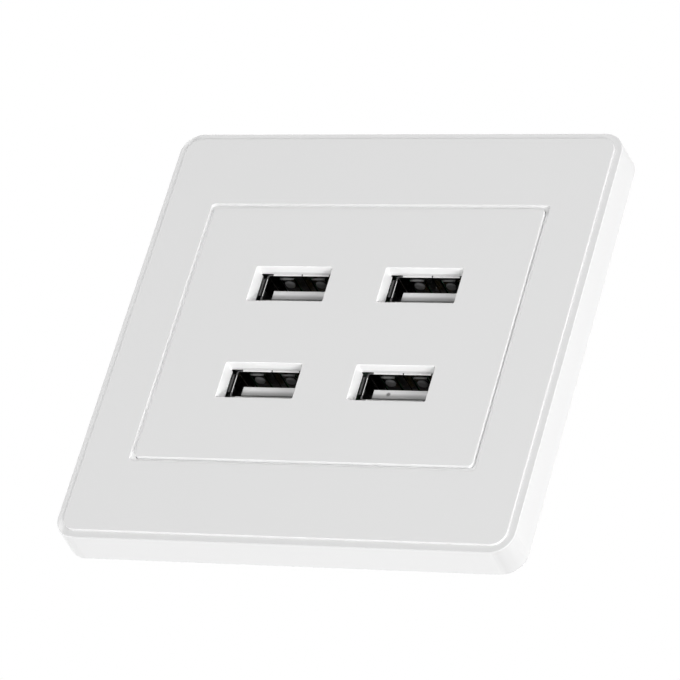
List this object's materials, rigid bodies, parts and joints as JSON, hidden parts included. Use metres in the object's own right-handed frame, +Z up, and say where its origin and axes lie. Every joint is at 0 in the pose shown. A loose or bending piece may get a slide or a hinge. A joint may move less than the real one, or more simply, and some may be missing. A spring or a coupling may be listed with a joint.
{
  "type": "usb wall socket",
  "caption": "Square white wall plate with a stepped rim, a grooved centre panel with USB-A charging ports, and a rear box that holds the power supply and mains terminals.",
  "frame": {"origin": "centre of the plate on the wall plane, midway between the two wall screw slots", "axes": "+Z up on the wall, -Y out of the face towards the user, +X to the right as seen from the front"},
  "size_m": [0.0864, 0.0359, 0.0864],
  "materials": {
    "white_gloss": "smooth glossy white",
    "white_matte": "fine moulded satin white",
    "box_grey": "fine moulded satin dark grey",
    "screw_steel": "zinc plated",
    "shell_nickel": "nickel plated sheet",
    "insulator_white": "moulded white",
    "contact_gold": "gold flashed",
    "board_green": "green solder mask",
    "header_black": "black moulded",
    "terminal_brass": "plain brass",
    "tab_tin": "tinned strip",
    "ferrite": "dark sintered ferrite",
    "bobbin_black": "black phenolic",
    "winding_tape": "yellow tape wrap",
    "winding_copper": "enamelled copper",
    "can_sleeve": "dark sleeve",
    "epoxy_black": "black epoxy",
    "disc_blue": "dipped blue",
    "fuse_brown": "brown box",
    "opto_white": "pale epoxy"
  },
  "bodies": {
    "socket_body": {"centre_panel": "white_gloss", "mounting_bracket": "white_matte", "rear_housing": "box_grey", "panel_screws": "screw_steel", "board_screws": "screw_steel", "usb_board": "board_green", "power_board": "board_green", "link_header": "header_black", "link_pins": "contact_gold", "terminal_block": "white_matte", "transformer_core": "ferrite", "transformer_bobbin": "bobbin_black", "transformer_winding": "winding_tape", "bridge_rectifier": "epoxy_black", "fuse": "fuse_brown", "varistor": "disc_blue", "safety_capacitor": "disc_blue", "optocoupler": "opto_white", "controller_chip": "epoxy_black", "output_diode": "epoxy_black", "choke_core": "ferrite", "choke_winding": "winding_copper", "usb_shell_1": "shell_nickel", "usb_tongue_1": "insulator_white", "usb_contacts_1": "contact_gold", "usb_shell_2": "shell_nickel", "usb_tongue_2": "insulator_white", "usb_contacts_2": "contact_gold", "usb_shell_3": "shell_nickel", "usb_tongue_3": "insulator_white", "usb_contacts_3": "contact_gold", "usb_shell_4": "shell_nickel", "usb_tongue_4": "insulator_white", "usb_contacts_4": "contact_gold", "input_capacitor_1": "can_sleeve", "output_capacitor_1": "can_sleeve", "charge_chip_1": "epoxy_black", "terminal_tab_1": "tab_tin", "input_capacitor_2": "can_sleeve", "output_capacitor_2": "can_sleeve", "charge_chip_2": "epoxy_black", "terminal_tab_2": "tab_tin"},
    "cover_frame": {"cover_frame": "white_gloss"},
    "terminal_screw_1": {"terminal_screw_1": "screw_steel"},
    "terminal_cage_1": {"terminal_cage_1": "terminal_brass"},
    "terminal_screw_2": {"terminal_screw_2": "screw_steel"},
    "terminal_cage_2": {"terminal_cage_2": "terminal_brass"}
  },
  "joints": [
    {"name": "cover_frame_pull", "type": "slide", "parent": "socket_body", "child": "cover_frame", "axis": [0, -1, 0], "range_m": [0, 0.015]},
    {"name": "terminal_screw_1_turn", "type": "hinge", "parent": "socket_body", "child": "terminal_screw_1", "pos_m": [-0.0052, 0.0216, -0.0209], "axis": [0, 0, 1], "range_deg": [0, 1800]},
    {"name": "terminal_cage_1_rise", "type": "slide", "parent": "socket_body", "child": "terminal_cage_1", "axis": [0, 0, -1], "range_m": [0, 0.003]},
    {"name": "terminal_screw_2_turn", "type": "hinge", "parent": "socket_body", "child": "terminal_screw_2", "pos_m": [0.0052, 0.0216, -0.0209], "axis": [0, 0, 1], "range_deg": [0, 1800]},
    {"name": "terminal_cage_2_rise", "type": "slide", "parent": "socket_body", "child": "terminal_cage_2", "axis": [0, 0, -1], "range_m": [0, 0.003]}
  ],
  "couplings": [
    {"joint": "terminal_screw_1_turn", "follows": "terminal_cage_1_rise", "rad_per_m": 10472},
    {"joint": "terminal_screw_2_turn", "follows": "terminal_cage_2_rise", "rad_per_m": 10472}
  ]
}
